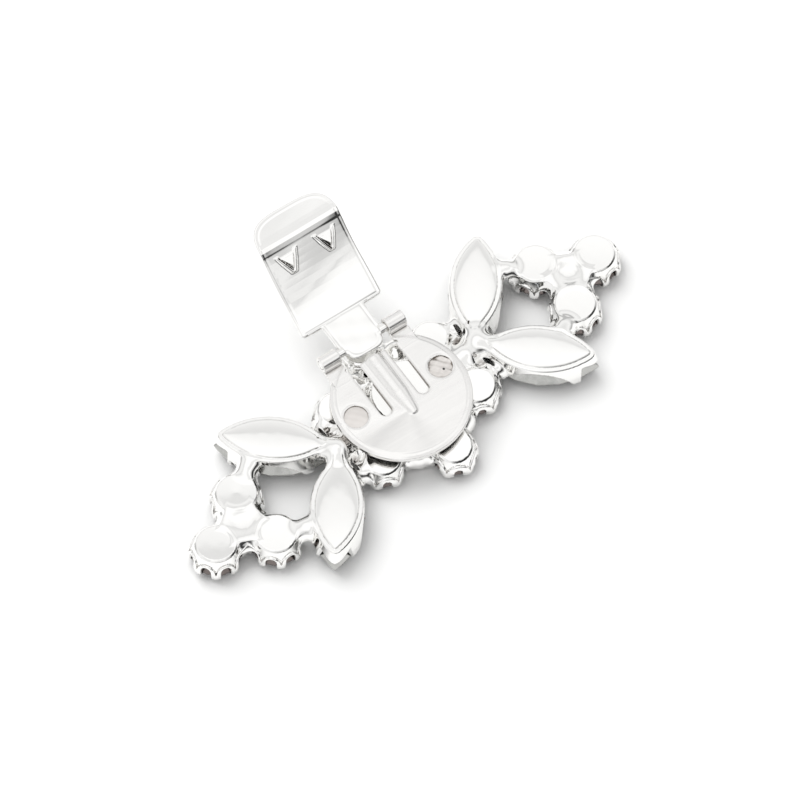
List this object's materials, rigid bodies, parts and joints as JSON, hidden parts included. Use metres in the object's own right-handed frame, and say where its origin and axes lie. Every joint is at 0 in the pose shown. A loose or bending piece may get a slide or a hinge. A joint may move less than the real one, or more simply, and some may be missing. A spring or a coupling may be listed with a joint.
{
  "type": "shoe buckle",
  "caption": "Rhinestone shoe buckle of the clip-on kind: a spray of marquise and round cut stones in claw cups, with a hinged shoe clip on its back.",
  "frame": {"origin": "on the middle of the centre stone's table, which lies on the surface, straight under the clip plate's centre", "axes": "+X along the clip's hinge, with the spray's long axis turned 6.7 degrees from it; +Y from the plate's centre to the hinge; +Z out of the back, from the stones to the clip"},
  "size_m": [0.0696, 0.0404, 0.0156],
  "materials": {
    "setting_metal": "bright silver plate",
    "plate_metal": "bright nickel, lightly brushed",
    "lever_metal": "bright nickel",
    "crystal": "clear cut crystal"
  },
  "bodies": {
    "buckle": {"stone_frame": "setting_metal", "clip_plate": "plate_metal", "centre_stone": "crystal", "ring_stone_1": "crystal", "ring_stone_2": "crystal", "ring_stone_3": "crystal", "ring_stone_4": "crystal", "ring_stone_5": "crystal", "ring_stone_6": "crystal", "right_marquise_back": "crystal", "right_marquise_front": "crystal", "left_marquise_back": "crystal", "left_marquise_front": "crystal", "right_stone_outer": "crystal", "right_stone_back": "crystal", "right_stone_front": "crystal", "left_stone_outer": "crystal", "left_stone_back": "crystal", "left_stone_front": "crystal"},
    "lever": {"clip_lever": "lever_metal"}
  },
  "joints": [
    {"name": "lever_hinge", "type": "hinge", "parent": "buckle", "child": "lever", "pos_m": [0, 0.0089, 0.00665], "axis": [1, 0, 0], "range_deg": [0, 149]}
  ]
}
